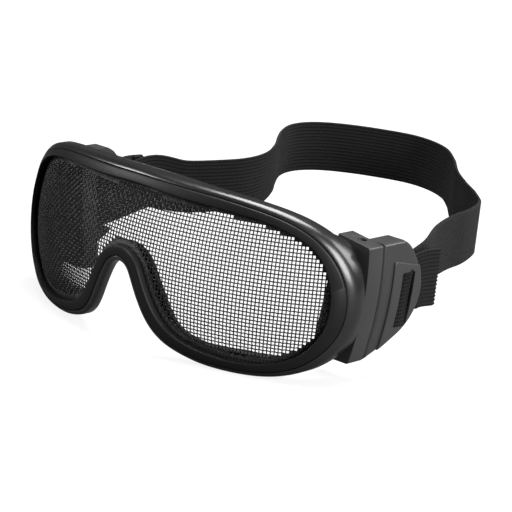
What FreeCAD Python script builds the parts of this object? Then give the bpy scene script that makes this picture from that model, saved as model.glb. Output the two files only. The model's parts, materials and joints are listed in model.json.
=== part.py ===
import FreeCAD, Part
import math
import os

os.makedirs("parts", exist_ok=True)
V = FreeCAD.Vector

# Mesh safety goggles on a 25 mm elastic head strap. Millimetres and degrees.
# The front looks towards -Y, the wearer's left is +X and up is +Z.

# Lens surface: a barrel, flatter in the middle and tighter at the ends
MIDDLE_RADIUS = 131.0
END_RADIUS = 84.0
MIDDLE_ANGLE = 26.5
END_ANGLE = 52.0
CROWN_RADIUS = 86.0
CROWN_Z = -4.0
TALL = 140.0
WIDE = 260.0

# Half outlines seen from the front, from the top of the middle round to the nose
RIM_SIDE = [(0, 34.1), (20, 33.6), (38.4, 32.7), (54.8, 30.8), (69.4, 26.9), (78.2, 21.6),
            (84.6, 14.2), (88.5, 5.5), (89.7, -3.5), (88.7, -12), (85.7, -19.4),
            (81.2, -25.6), (75.8, -30.3), (69.4, -33.4), (62.3, -35.1), (54.8, -35.7), (47, -35.6)]
RIM_NOSE = [(38.9, -34.8), (30.5, -32.7), (24.2, -30.1), (19.6, -26.6), (12.8, -16.1),
            (8.2, -6.4), (5, -1.7), (0, 0.2)]
REAR_NOSE = [(40.6, -34.7), (33.4, -33), (27.4, -30.4), (22.8, -26.6), (15.8, -15.5),
             (10.6, -5.1), (6.8, 0.4), (0, 2.9)]
REAR_SIDE = [(0, 34.1), (20, 33.6), (38.4, 32.6), (54.8, 30.4), (69, 26), (77.2, 20.8),
             (83.2, 13.6), (87.1, 5.2), (88.2, -3.5), (87.2, -11.6), (84.4, -18.6),
             (80, -24.4), (74.8, -28.7), (68.6, -31.6), (61.8, -33.1), (54.8, -33.6), (47, -33.5)]
OPENING_HALF = [(0, 30.4), (16, 29.8), (31, 29.1), (45, 28.5), (56, 27.3), (65, 25.2),
                (72.2, 22.2), (78.3, 17.6), (82.6, 10.8), (84.9, 3), (85.4, -4), (84.4, -11.4),
                (81.8, -17.8), (78.2, -23), (73, -27.2), (66.4, -30.2), (59.2, -31.8),
                (51.6, -32.2), (43.7, -31.5), (35.4, -29.7), (29, -27.3), (24.7, -24.5),
                (21.1, -20.9), (15.2, -11), (11.2, -3.2), (8.2, 1), (4.4, 3.8), (0, 4.7)]

RIM = RIM_SIDE + RIM_NOSE

# Rim and frame
RIM_STAND = 3.8
PLATE = 1.8
GROOVE = 0.3
LIP = 1.4
SHEET = 1.0
LEDGE = 1.6
SHOULDER = 2.0
SHOULDER_DEPTH = 5.4
SHOULDER_ROUND = 1.7
ROUND_STEPS = 4
WALL_OUT = 0.6
WALL = 2.0
WALL_LEAST = 1.9
REAR_RADIUS = 230.0
REAR_DEPTH = 20.0
NOSE_DEPTH_SHARES = [0.95, 0.85, 0.74, 0.64, 0.55, 0.5, 0.48, 0.48]
FLANGE = 3.4
FLANGE_END = 0.9
FLANGE_THICK = 1.1
TEMPLE_START = 70.0
TEMPLE_END = 82.0
SEAT_GAP = 0.1
BLOCK_GAP = 0.4
SHEET_GAP = 0.25
SEAL_WIDE = 3.0
SEAL_IN = 4.0
SEAL_OUT = 2.6
SEAL_LEAST = 3.0
SEAL_CLEAR = 0.9
SEAL_GAP = 0.4

# Wire cloth, drawn with every fourth wire of a 16-to-the-inch weave
WEAVE_PITCH = 25.4 / 16
GRID_STEP = 4 * WEAVE_PITCH
GRID_BAR = 0.9
BORDER_SHOW = 2.0
CLOTH = 0.7
GRID_COLUMNS = 16
GRID_ROWS = 6
EDGE_STEPS = 96

# Hinge block and pin
BLOCK_FRONT = 45.5
BLOCK_BACK = 54.5
BLOCK_IN = 73.0
BLOCK_OUT = 90.0
BLOCK_TOP_IN = 22.2
BLOCK_TOP_OUT = 19.7
BLOCK_BOTTOM = -29.6
BLOCK_FOOT = 66.0
SIDE_CROWN = 136.0
SIDE_CROWN_Z = 6.0
BLOCK_ROUND = 1.2
PIN_X = 81.0
PIN_Y = 51.0
PIN_RADIUS = 2.0
PIN_TOP = 18.0
PIN_BOTTOM = -24.0
PIN_SEAT_GAP = 0.02
PIN_RUN_GAP = 0.06
KNUCKLE_RADIUS = 3.4
KNUCKLE_TOP = 11.6
KNUCKLE_BOTTOM = -17.6
SLOT_GAP = 0.4

# Strap clip and its cover
CLIP_FRONT = 55.5
CLIP_IN = 80.0
CLIP_NOTCH = 1.6
CLIP_TOP_LINE = [(55.5, 20.2), (69.2, 20.2)]
CLIP_CURVE = [(69.2, 20.2), (72.9, 18.2), (76.3, 14.6), (79.6, 9.2), (81.6, 3.3), (82.4, -2.6),
              (81.2, -9.6), (78.4, -15), (74.4, -19.3), (69.2, -22.6), (63.2, -26.1), (55.5, -29.6)]
POCKET_SIDE = [(60.5, -18), (60.5, 8.6), (68, 8.8), (92, 14.6), (92, -18)]
POCKET_OUT = 87.8
BAR_X = 84.4
BAR_THICK = 2.2
BAR_FRONT = 65.2
BAR_BACK = 69.4
WINDOW_FRONT = 68.0
WINDOW_BACK = 76.8
WINDOW_TOP = 6.9
WINDOW_BOTTOM = -17.3
WINDOW_ROUND = 0.8
COVER_RAISE = 0.8
COVER_FRONT = 62.3
COVER_TOP_FRONT = 12.4
COVER_TOP_BACK = 9.4
COVER_EDGE = 0.4
COVER_ROUND = 1.4

# Elastic strap, its centre line from the left bar round the head to the right bar
STRAP_WIDTH = 25.0
STRAP_THICK = 1.5
LOOP_GAP = 0.4
LOOP_Y = 66.2
LOOP_Z = -4.7
MAIN_START = [(0, 71, -4.3), (-0.3, 78, -3), (-1.6, 88, -0.4), (-3.9, 99, 1.9)]
STRAP_ROUTE = [(71.5, 115, 4.2), (66.8, 132, 5), (63.6, 149, 5), (57, 166, 5), (46.5, 178, 5),
               (31.5, 191, 5), (15, 207, 5), (0, 225, 5), (-14, 239, 5), (-28, 246.6, 5),
               (-42, 248.4, 5), (-56, 245, 4.8), (-71, 238, 4.6), (-82, 229, 4.5),
               (-87.6, 219, 4.4), (-88.4, 208, 4.2), (-84, 196, 4), (-75.5, 183, 3.8),
               (-65.5, 169, 3.5), (-58.5, 154, 3), (-58, 140, 2.8), (-63.5, 126, 2.6),
               (-71.8, 112, 2.5)]
TAIL_LINE = [(0, 72, -4.1), (0, 84, -1.9), (0.2, 98, 0.6)]
SPLIT_COURSE = (-0.32, 0.93, 0.12)
SPLIT_GAP = 0.8
SPLIT_LEAD = 5.0
STRAP_STEP = 8.0
HEM_LENGTH = 8.0


def half_curve(points):
    curve = Part.BSplineCurve()
    curve.interpolate(Points=points, InitialTangent=V(1, 0, 0), FinalTangent=V(-1, 0, 0))
    return curve


def grown(half, grow):
    points = [V(x, 0, z) for x, z in half]
    curve = half_curve(points)
    moved = []
    for point in points:
        along = curve.tangent(curve.parameter(point))[0]
        moved.append(point + V(-along.z, 0, along.x) * grow)
    moved[0].x = 0
    moved[-1].x = 0
    return moved


def opening(grow):
    curve = half_curve(grown(OPENING_HALF, grow))
    matched = [curve.value(curve.parameter(V(x, 0, z))) for x, z in RIM]
    matched[0] = curve.value(curve.FirstParameter)
    matched[-1] = curve.value(curve.LastParameter)
    return matched


def lens_depth(x, z, height):
    turn = math.radians(MIDDLE_ANGLE)
    radius = CROWN_RADIUS + height
    inset = CROWN_RADIUS - math.sqrt(radius ** 2 - (z - CROWN_Z) ** 2)
    if abs(x) < (MIDDLE_RADIUS - inset) * math.sin(turn):
        return MIDDLE_RADIUS - math.sqrt((MIDDLE_RADIUS - inset) ** 2 - x ** 2)
    shift = MIDDLE_RADIUS - END_RADIUS
    across = abs(x) - shift * math.sin(turn)
    return MIDDLE_RADIUS - shift * math.cos(turn) - math.sqrt((END_RADIUS - inset) ** 2 - across ** 2)


def on_lens(points, height):
    return [V(p.x, lens_depth(p.x, p.z, height), p.z) for p in points]


def head_depth(x):
    return REAR_DEPTH + REAR_RADIUS - math.sqrt(REAR_RADIUS ** 2 - x ** 2)


def temple(x):
    share = min(max((x - TEMPLE_START) / (TEMPLE_END - TEMPLE_START), 0), 1)
    return share * share * (3 - 2 * share)


def nose_shares():
    return [1] * len(RIM_SIDE) + NOSE_DEPTH_SHARES


def rear_depth(x):
    return head_depth(x) + (BLOCK_FRONT - BLOCK_GAP - head_depth(x)) * temple(x)


def at_rear(points, forward):
    return [V(p.x, rear_depth(p.x) * share - forward, p.z) for p, share in zip(points, nose_shares())]


def loop_curve(points, side):
    places = [0]
    for (x, z), (next_x, next_z) in zip(RIM, RIM[1:]):
        places.append(places[-1] + math.hypot(next_x - x, next_z - z))
    curve = Part.BSplineCurve()
    points = [V(p.x * side, p.y, p.z) for p in points]
    curve.interpolate(Points=points, Parameters=places, InitialTangent=V(side, 0, 0), FinalTangent=V(-side, 0, 0))
    return curve


def ruled_face(first, second):
    surface = Part.BSplineSurface()
    poles = [first.getPoles(), second.getPoles()]
    knots = first.getKnots()
    mults = first.getMultiplicities()
    surface.buildFromPolesMultsKnots(poles, [2, 2], mults, [0, 1], knots, False, False, 1, first.Degree)
    return surface.toShape()


def ring_solid(loops):
    faces = []
    for side in (1, -1):
        curves = [loop_curve(loop, side) for loop in loops]
        faces += [ruled_face(curves[i - 1], curves[i]) for i in range(len(curves))]
    shell = Part.makeShell(faces)
    shell.sewShape()
    solid = Part.Solid(shell)
    if solid.Volume < 0:
        solid.reverse()
    return solid


def box(low_x, low_y, low_z, high_x, high_y, high_z):
    return Part.makeBox(high_x - low_x, high_y - low_y, high_z - low_z, V(low_x, low_y, low_z))


def mirror_side(shape):
    turned = Part.Solid(shape.mirror(V(0, 0, 0), V(1, 0, 0)).Shells[0])
    if turned.Volume < 0:
        turned.reverse()
    return turned


def plate_across(points, low_x, high_x):
    corners = [V(low_x, y, z) for y, z in points]
    face = Part.Face(Part.makePolygon(corners + corners[:1]))
    return face.extrude(V(high_x - low_x, 0, 0))


def round_edges(shape, radius, chosen):
    edges = [edge for edge in shape.Edges if chosen(edge)]
    return shape.makeFillet(radius, edges)


def make_frame():
    top = RIM_STAND - GROOVE
    low = RIM_STAND - SHOULDER_DEPTH
    last = BLOCK_FRONT - BLOCK_GAP - WALL_LEAST
    loops = [on_lens(grown(RIM, 0), top)]
    for step in range(ROUND_STEPS + 1):
        turn = math.radians(90) * step / ROUND_STEPS
        out = SHOULDER - SHOULDER_ROUND * (1 - math.sin(turn))
        loops.append(on_lens(grown(RIM, out), top - SHOULDER_ROUND * (1 - math.cos(turn))))
    loops.append(on_lens(grown(RIM, SHOULDER), low))
    loops.append(on_lens(grown(RIM, WALL_OUT), low))
    lip = []
    for point, wall in zip(grown(REAR_SIDE + REAR_NOSE, FLANGE), grown(REAR_SIDE + REAR_NOSE, FLANGE_END)):
        lip.append(point + (wall - point) * temple(point.x))
    loops.append(at_rear(grown(RIM_SIDE + REAR_NOSE, WALL_OUT), FLANGE_THICK))
    loops.append(at_rear(lip, FLANGE_THICK))
    loops.append(at_rear(lip, 0))
    loops.append(at_rear(grown(RIM_SIDE + REAR_NOSE, WALL_OUT - WALL), 0))
    loops.append(on_lens(grown(RIM, WALL_OUT - WALL), -SHEET / 2 - LEDGE))
    loops.append(on_lens(opening(0), -SHEET / 2 - LEDGE))
    loops.append(on_lens(opening(0), -SHEET / 2))
    loops.append(on_lens(grown(RIM, 0), -SHEET / 2))
    for loop in loops[:-8]:
        for point in loop:
            point.y = min(point.y, last)
    return ring_solid(loops)


def make_bezel():
    edge = grown(RIM, -GROOVE)
    step = opening(LIP)
    inner = opening(0)
    middle = RIM_STAND - PLATE
    low = SHEET / 2
    return ring_solid([on_lens(edge, RIM_STAND), on_lens(edge, middle), on_lens(step, middle),
                       on_lens(step, low), on_lens(inner, low), on_lens(inner, RIM_STAND)])


def make_border():
    half = SHEET / 2 - SEAT_GAP
    outer = opening(LIP)
    inner = opening(-BORDER_SHOW)
    return ring_solid([on_lens(outer, half), on_lens(outer, -half), on_lens(inner, -half), on_lens(inner, half)])


def lens_point(along):
    turn = math.radians(MIDDLE_ANGLE)
    angle = min(abs(along) / MIDDLE_RADIUS, turn)
    rest = max(abs(along) - MIDDLE_RADIUS * turn, 0) / END_RADIUS
    x = (MIDDLE_RADIUS - END_RADIUS) * math.sin(angle) + END_RADIUS * math.sin(angle + rest)
    y = MIDDLE_RADIUS - (MIDDLE_RADIUS - END_RADIUS) * math.cos(angle)
    y -= END_RADIUS * math.cos(angle + rest)
    side = math.copysign(1, along)
    return side * x, y, side * math.degrees(angle + rest)


def lens_edge(grow):
    curve = loop_curve(on_lens(opening(grow), 0), 1)
    points = curve.discretize(Number=EDGE_STEPS)
    points = [V(p.x, -WIDE / 4, p.z) for p in points]
    face = Part.Face(Part.makePolygon(points + points[:1]))
    return face.extrude(V(0, WIDE / 2, 0))


def cloth_sheet():
    heights = (-CLOTH / 2, CLOTH / 2)
    sides = []
    for height in heights:
        rows = [row * GRID_STEP for row in range(-GRID_ROWS, GRID_ROWS + 1)]
        sides.append([V(0, lens_depth(0, z, height), z) for z in rows])
    corners = sides[0] + sides[1][::-1]
    middle = Part.Face(Part.makePolygon(corners + corners[:1]))
    axis = V(0, MIDDLE_RADIUS, 0)
    up = V(0, 0, 1)
    turn = math.radians(MIDDLE_ANGLE)
    shift = MIDDLE_RADIUS - END_RADIUS
    end = middle.copy()
    end.rotate(axis, up, MIDDLE_ANGLE)
    end_axis = V(shift * math.sin(turn), MIDDLE_RADIUS - shift * math.cos(turn), 0)
    return middle.revolve(axis, up, MIDDLE_ANGLE).fuse(end.revolve(end_axis, up, END_ANGLE))


def make_lens():
    cloth = cloth_sheet().common(lens_edge(-BORDER_SHOW - SHEET_GAP))
    limit = lens_edge(-BORDER_SHOW - SHEET_GAP - GRID_BAR)
    gaps = []
    for column in range(GRID_COLUMNS):
        for row in range(-GRID_ROWS, GRID_ROWS):
            hole = lens_gap(column * GRID_STEP + GRID_BAR / 2, row * GRID_STEP + GRID_BAR / 2)
            inside = corners_inside(limit, column * GRID_STEP, row * GRID_STEP)
            if inside < 4:
                hole = hole.common(limit)
            size = hole.BoundBox
            if hole.Solids and size.XLength > GRID_BAR and size.ZLength > GRID_BAR:
                gaps.append(hole)
    half = cloth.cut(Part.makeCompound(gaps))
    print("gaps in the net", len(gaps) * 2)
    return half.fuse(mirror_side(half))


def lens_gap(along, up):
    size = GRID_STEP - GRID_BAR
    turn = math.radians(MIDDLE_ANGLE)
    radius, axis = MIDDLE_RADIUS, V(0, MIDDLE_RADIUS, 0)
    angle = along / MIDDLE_RADIUS
    if along + size / 2 > MIDDLE_RADIUS * turn:
        shift = MIDDLE_RADIUS - END_RADIUS
        radius = END_RADIUS
        axis = V(shift * math.sin(turn), MIDDLE_RADIUS - shift * math.cos(turn), 0)
        angle = turn + (along - MIDDLE_RADIUS * turn) / END_RADIUS
    corners = [(-GRID_STEP, up), (GRID_STEP * 2, up), (GRID_STEP * 2, up + size), (-GRID_STEP, up + size)]
    points = [V(axis.x, axis.y - radius + y, z) for y, z in corners]
    face = Part.Face(Part.makePolygon(points + points[:1]))
    face.rotate(axis, V(0, 0, 1), math.degrees(angle))
    return face.revolve(axis, V(0, 0, 1), math.degrees(size / radius))


def corners_inside(limit, along, up):
    inside = 0
    for step_along, step_up in ((0, 0), (1, 0), (0, 1), (1, 1)):
        x, y, angle = lens_point(along + step_along * GRID_STEP)
        inside += limit.isInside(V(x, y, up + step_up * GRID_STEP), PIN_SEAT_GAP, True)
    return inside


def make_seal():
    loops = []
    for grow, back in ((0, 0), (0, 1), (-SEAL_WIDE, 1), (-SEAL_WIDE, 0)):
        loop = []
        for p, share in zip(grown(RIM_SIDE + REAR_NOSE, WALL_OUT - WALL - SEAL_GAP + grow), nose_shares()):
            ledge = lens_depth(p.x, p.z, -SHEET / 2 - LEDGE) + SEAL_CLEAR
            front = max(head_depth(p.x) * share - SEAL_IN, ledge)
            rear = min(max(head_depth(p.x) * share + SEAL_OUT, front + SEAL_LEAST), BLOCK_FRONT - BLOCK_GAP)
            loop.append(V(p.x, rear if back else front, p.z))
        loops.append(loop)
    return ring_solid(loops)


def side_crown(raise_by):
    radius = SIDE_CROWN + raise_by
    return Part.makeCylinder(radius, WIDE, V(BLOCK_OUT - SIDE_CROWN, 0, SIDE_CROWN_Z), V(0, 1, 0))


def make_block():
    corners = [(BLOCK_IN, BLOCK_TOP_IN), (BLOCK_OUT + SHEET, BLOCK_TOP_OUT),
               (BLOCK_OUT + SHEET, BLOCK_BOTTOM), (BLOCK_FOOT, BLOCK_BOTTOM)]
    points = [V(x, BLOCK_FRONT, z) for x, z in corners]
    face = Part.Face(Part.makePolygon(points + points[:1]))
    block = face.extrude(V(0, BLOCK_BACK - BLOCK_FRONT, 0)).common(side_crown(0))
    block = round_edges(block, BLOCK_ROUND, outer_long_edge)
    hole = Part.makeCylinder(PIN_RADIUS + PIN_SEAT_GAP, TALL, V(PIN_X, PIN_Y, PIN_BOTTOM))
    slot_low = KNUCKLE_BOTTOM - SLOT_GAP
    slot_tall = KNUCKLE_TOP + SLOT_GAP - slot_low
    slot_radius = KNUCKLE_RADIUS + SLOT_GAP
    slot = Part.makeCylinder(slot_radius, slot_tall, V(PIN_X, PIN_Y, slot_low))
    mouth = box(PIN_X - slot_radius, PIN_Y, slot_low, PIN_X + slot_radius, CLIP_FRONT, slot_low + slot_tall)
    return block.cut(hole).cut(slot).cut(mouth)


def outer_long_edge(edge):
    ends = [vertex.Point for vertex in edge.Vertexes]
    along = len(ends) == 2 and abs(ends[0].y - ends[1].y) > BLOCK_BACK - BLOCK_FRONT - GROOVE
    return along and ends[0].x > PIN_X


def clip_outline_face(x, grow):
    points = [V(x, y, z) for y, z in CLIP_CURVE]
    curve = Part.BSplineCurve()
    curve.interpolate(Points=points)
    if grow:
        moved = []
        for point in points:
            along = curve.tangent(curve.parameter(point))[0]
            moved.append(point + V(0, -along.z, along.y) * grow)
        curve = Part.BSplineCurve()
        curve.interpolate(Points=moved)
        points = moved
    front_top = V(x, CLIP_FRONT, points[0].z)
    front_bottom = V(x, CLIP_FRONT, points[-1].z)
    edges = [curve.toShape(), Part.makeLine(front_top, points[0]), Part.makeLine(front_top, front_bottom)]
    if points[-1].distanceToPoint(front_bottom) > PIN_SEAT_GAP:
        edges.append(Part.makeLine(front_bottom, points[-1]))
    return Part.Face(Part.Wire(Part.__sortEdges__(edges)))


def window_cut(low_x, high_x):
    opening = box(low_x, WINDOW_FRONT, WINDOW_BOTTOM, high_x, WINDOW_BACK, WINDOW_TOP)
    return round_edges(opening, WINDOW_ROUND, across_edge)


def across_edge(edge):
    ends = [vertex.Point for vertex in edge.Vertexes]
    return abs(ends[0].y - ends[1].y) + abs(ends[0].z - ends[1].z) < PIN_SEAT_GAP


def make_clip():
    shell = clip_outline_face(CLIP_IN, 0).extrude(V(BLOCK_OUT + SHEET - CLIP_IN, 0, 0))
    shell = shell.common(side_crown(0))
    shell = shell.cut(plate_across(POCKET_SIDE, CLIP_IN - SHEET, POCKET_OUT))
    corner = box(CLIP_IN - CLIP_NOTCH, CLIP_FRONT - CLIP_NOTCH, -TALL / 2, CLIP_IN + CLIP_NOTCH, CLIP_FRONT + CLIP_NOTCH, TALL / 2)
    corner.rotate(V(CLIP_IN, CLIP_FRONT, 0), V(0, 0, 1), MIDDLE_ANGLE)
    shell = shell.cut(corner)
    bar = box(BAR_X - BAR_THICK / 2, BAR_FRONT, WINDOW_BOTTOM - SHEET * 2, BAR_X + BAR_THICK / 2, BAR_BACK, WINDOW_TOP + SHEET * 3)
    shell = shell.fuse(round_edges(bar, BAR_THICK / 2 - PIN_SEAT_GAP, upright_front_edge))
    knuckle_tall = KNUCKLE_TOP - KNUCKLE_BOTTOM
    knuckle = Part.makeCylinder(KNUCKLE_RADIUS, knuckle_tall, V(PIN_X, PIN_Y, KNUCKLE_BOTTOM))
    web = box(PIN_X - KNUCKLE_RADIUS / 2, PIN_Y, KNUCKLE_BOTTOM, PIN_X + KNUCKLE_RADIUS / 2, CLIP_FRONT + WALL, KNUCKLE_TOP)
    bore = Part.makeCylinder(PIN_RADIUS + PIN_RUN_GAP, TALL, V(PIN_X, PIN_Y, -TALL / 2))
    shell = shell.fuse(knuckle).fuse(web).cut(bore)
    return shell.cut(window_cut(POCKET_OUT - SHEET, WIDE))


def upright_front_edge(edge):
    ends = [vertex.Point for vertex in edge.Vertexes]
    return abs(ends[0].z - ends[1].z) > WALL and ends[0].y < BAR_BACK


def make_cover():
    pad = clip_outline_face(CLIP_IN, -COVER_EDGE).extrude(V(WIDE, 0, 0))
    corners = [(COVER_FRONT, COVER_TOP_FRONT), (WINDOW_BACK + WALL * 4, COVER_TOP_BACK),
               (WINDOW_BACK + WALL * 4, -TALL / 2), (COVER_FRONT, -TALL / 2)]
    limit = plate_across(corners, CLIP_IN, WIDE)
    limit = round_edges(limit, COVER_ROUND, cover_corner)
    pad = pad.common(limit).common(side_crown(COVER_RAISE)).cut(side_crown(0))
    return pad.cut(window_cut(POCKET_OUT - SHEET, WIDE))


def cover_corner(edge):
    ends = [vertex.Point for vertex in edge.Vertexes]
    return across_edge(edge) and ends[0].y < WINDOW_FRONT and ends[0].z > 0


def make_pin():
    return Part.makeCylinder(PIN_RADIUS, PIN_TOP - PIN_BOTTOM, V(PIN_X, PIN_Y, PIN_BOTTOM))


def ribbon(points, courses=None):
    centre = Part.BSplineCurve()
    if courses:
        centre.interpolate(Points=points, InitialTangent=courses[0], FinalTangent=courses[1])
    else:
        centre.interpolate(Points=points)
    steps = math.ceil(centre.length() / STRAP_STEP)
    edges = []
    for side, end in ((-1, -1), (1, -1), (1, 1), (-1, 1)):
        corner = []
        for step in range(steps + 1):
            place = centre.FirstParameter + (centre.LastParameter - centre.FirstParameter) * step / steps
            along = centre.tangent(place)[0]
            across = V(along.y, -along.x, 0).normalize() * (side * STRAP_THICK / 2)
            corner.append(centre.value(place) + across + V(0, 0, end * STRAP_WIDTH / 2))
        curve = Part.BSplineCurve()
        curve.interpolate(Points=corner)
        edges.append(curve.toShape())
    faces = [Part.makeRuledSurface(edges[i], edges[i - 1]) for i in range(4)]
    for tip in (0, -1):
        corners = [edge.Vertexes[tip].Point for edge in edges]
        faces.append(Part.Face(Part.makePolygon(corners + corners[:1])))
    shell = Part.makeShell(faces)
    shell.sewShape()
    solid = Part.Solid(shell)
    if solid.Volume < 0:
        solid.reverse()
    return solid


def strap_side(side):
    offset = BAR_THICK / 2 + LOOP_GAP + STRAP_THICK / 2
    inner = side * (BAR_X - offset)
    return [V(inner, LOOP_Y, LOOP_Z)] + [V(inner + side * dx, y, z) for dx, y, z in MAIN_START]


def split_course(side):
    x, y, z = SPLIT_COURSE
    return V(side * x, y, z).normalize()


def make_band():
    ends = []
    for side in (1, -1):
        end = strap_side(side)[-1]
        ends.append([end + split_course(side) * gap for gap in (SPLIT_GAP, SPLIT_LEAD)])
    middle = [V(x, y, z) for x, y, z in STRAP_ROUTE]
    return ribbon(ends[0] + middle + ends[1][::-1])


def make_strap_end(side):
    offset = BAR_THICK / 2 + LOOP_GAP + STRAP_THICK / 2
    base = V(side * BAR_X, LOOP_Y, LOOP_Z - STRAP_WIDTH / 2)
    outer = Part.makeCylinder(offset + STRAP_THICK / 2, STRAP_WIDTH, base)
    inner = Part.makeCylinder(offset - STRAP_THICK / 2, STRAP_WIDTH, base)
    front = box(-WIDE / 2, CLIP_FRONT, -TALL / 2, WIDE / 2, LOOP_Y, TALL / 2)
    loop = outer.cut(inner).common(front)
    points = [V(side * (BAR_X + offset), LOOP_Y, LOOP_Z)]
    points += [V(side * (BAR_X + offset + dx), y, z) for dx, y, z in TAIL_LINE]
    tail = ribbon(points, [V(0, 1, 0), points[-1] - points[-2]])
    return loop.fuse(tail).fuse(ribbon(strap_side(side), [V(0, 1, 0), split_course(side)]))


def make_hem():
    offset = BAR_THICK / 2 + LOOP_GAP + STRAP_THICK / 2
    inner_x = BAR_X + offset - STRAP_THICK - PIN_SEAT_GAP
    points = [V(inner_x, LOOP_Y, LOOP_Z)] + [V(inner_x + dx, y, z) for dx, y, z in TAIL_LINE]
    return ribbon(points, [V(0, 1, 0), points[-1] - points[-2]]).common(box(CLIP_IN - WALL, points[-1].y - HEM_LENGTH, -TALL / 2, WIDE, WIDE, TALL / 2))


pieces = {
    "main_frame": make_frame(),
    "front_bezel": make_bezel(),
    "mesh_border": make_border(),
    "mesh_lens": make_lens(),
    "face_seal": make_seal(),
    "strap_band": make_band(),
    "strap_end_left": make_strap_end(1),
    "strap_end_right": make_strap_end(-1),
}
for name, shape in (("hinge_block", make_block()), ("hinge_pin", make_pin()), ("strap_clip", make_clip()),
                    ("clip_cover", make_cover()), ("strap_hem", make_hem())):
    pieces[name + "_left"] = shape
    pieces[name + "_right"] = mirror_side(shape)

lowest = min(z for x, z in RIM_SIDE) - SHOULDER
front = -RIM_STAND
back = max(y for x, y, z in STRAP_ROUTE) + STRAP_THICK / 2
set_down = V(0, -(front + back) / 2, -lowest)
for name, shape in pieces.items():
    shape = shape.removeSplitter()
    shape.translate(set_down)
    solids = shape.Solids
    if len(solids) == 1:
        shape = solids[0]
    print(name, len(solids), shape.isValid(), round(shape.Volume, 1), shape.BoundBox)
    shape.exportStep(os.path.join("parts", name + ".step"))
print("set down by", set_down)
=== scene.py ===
import bpy
import json
import math
import numpy
from contextlib import contextmanager
from functools import lru_cache
from mathutils import Matrix, Vector

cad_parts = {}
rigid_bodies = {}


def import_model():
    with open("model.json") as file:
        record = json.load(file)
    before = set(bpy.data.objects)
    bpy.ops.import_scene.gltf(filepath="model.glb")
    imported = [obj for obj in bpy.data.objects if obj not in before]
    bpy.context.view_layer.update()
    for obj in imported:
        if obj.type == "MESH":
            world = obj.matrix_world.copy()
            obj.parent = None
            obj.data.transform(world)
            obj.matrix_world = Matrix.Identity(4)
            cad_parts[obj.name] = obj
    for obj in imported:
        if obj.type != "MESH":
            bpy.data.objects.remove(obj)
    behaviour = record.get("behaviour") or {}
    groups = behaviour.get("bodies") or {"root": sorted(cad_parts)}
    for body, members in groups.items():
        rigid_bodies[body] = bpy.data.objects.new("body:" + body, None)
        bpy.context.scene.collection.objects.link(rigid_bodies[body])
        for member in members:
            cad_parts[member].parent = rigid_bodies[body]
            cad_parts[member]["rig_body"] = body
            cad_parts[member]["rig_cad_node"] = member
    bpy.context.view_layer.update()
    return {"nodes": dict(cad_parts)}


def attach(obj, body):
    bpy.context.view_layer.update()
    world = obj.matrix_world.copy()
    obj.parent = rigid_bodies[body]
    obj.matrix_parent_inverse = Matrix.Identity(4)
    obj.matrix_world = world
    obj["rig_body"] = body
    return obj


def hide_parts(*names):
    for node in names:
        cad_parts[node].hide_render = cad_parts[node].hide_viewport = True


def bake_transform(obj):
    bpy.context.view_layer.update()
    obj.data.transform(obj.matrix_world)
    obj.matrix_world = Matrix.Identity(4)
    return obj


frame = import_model()
bpy.ops.object.select_all(action="DESELECT")
print("frame loaded", sorted(frame["nodes"]))

mm = 0.001
setDown = Vector((0, -122.675, 37.7)) * mm      # from the lens surface's own origin to the part's
bodyOf = {"left": "left_clip", "right": "right_clip"}
signOf = {"left": 1, "right": -1}
weavePitch = 1.5875 * mm      # 16 wires to the inch


def addObject(name, data):
    made = bpy.data.objects.new(name, data)
    bpy.context.scene.collection.objects.link(made)
    return made


# the camera stands where the photograph was taken from
cameraSetup = {
    "place": Vector((598.735, -642.220, 245.447)) * mm + setDown,
    "round": math.radians(39.5028), "above": math.radians(15.2803), "roll": math.radians(6.2560),
    "lens": 157.32, "sensor": 36.0, "far": 20,
}


def addCamera():
    setup = cameraSetup
    camera = addObject("studioCamera", bpy.data.cameras.new("studioCamera"))
    camera.data.lens = setup["lens"]
    camera.data.sensor_width = setup["sensor"]
    camera.data.clip_end = setup["far"]
    aim = Matrix.Rotation(setup["round"], 4, "Z") @ Matrix.Rotation(math.pi / 2 - setup["above"], 4, "X")
    camera.matrix_world = Matrix.Translation(setup["place"]) @ aim @ Matrix.Rotation(setup["roll"], 4, "Z")
    bpy.context.scene.camera = camera


addCamera()

# colour sockets of the mix node, by place, as others there have the same names
socketPlace = {"mixedColour": 2, "firstColour": 6, "secondColour": 7}
noiseMiddle = 0.5


class Signal:
    # one output socket; each calculation with it adds a maths node
    def __init__(self, finish, socket):
        self.finish = finish
        self.socket = socket

    def maths(self, operation, first, second=0.0):
        return self.finish.node("ShaderNodeMath", {"operation": operation}, {0: first, 1: second})

    def __add__(self, other):
        return self.maths("ADD", self, other)

    def __sub__(self, other):
        return self.maths("SUBTRACT", self, other)

    def __rsub__(self, other):
        return self.maths("SUBTRACT", other, self)

    def __mul__(self, other):
        return self.maths("MULTIPLY", self, other)

    def __pow__(self, other):
        return self.maths("POWER", self, other)

    __radd__ = __add__

    def wave(self):
        return self.maths("SINE", self)

    def ridges(self):
        return self.maths("ABSOLUTE", self.wave())

    def clamped(self):
        return self.finish.node("ShaderNodeClamp", {}, {"Value": self})

    def varied(self, amount):
        return (self - noiseMiddle) * amount

    def above(self, start, sharp):
        return ((self - start) * sharp).clamped()


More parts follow.
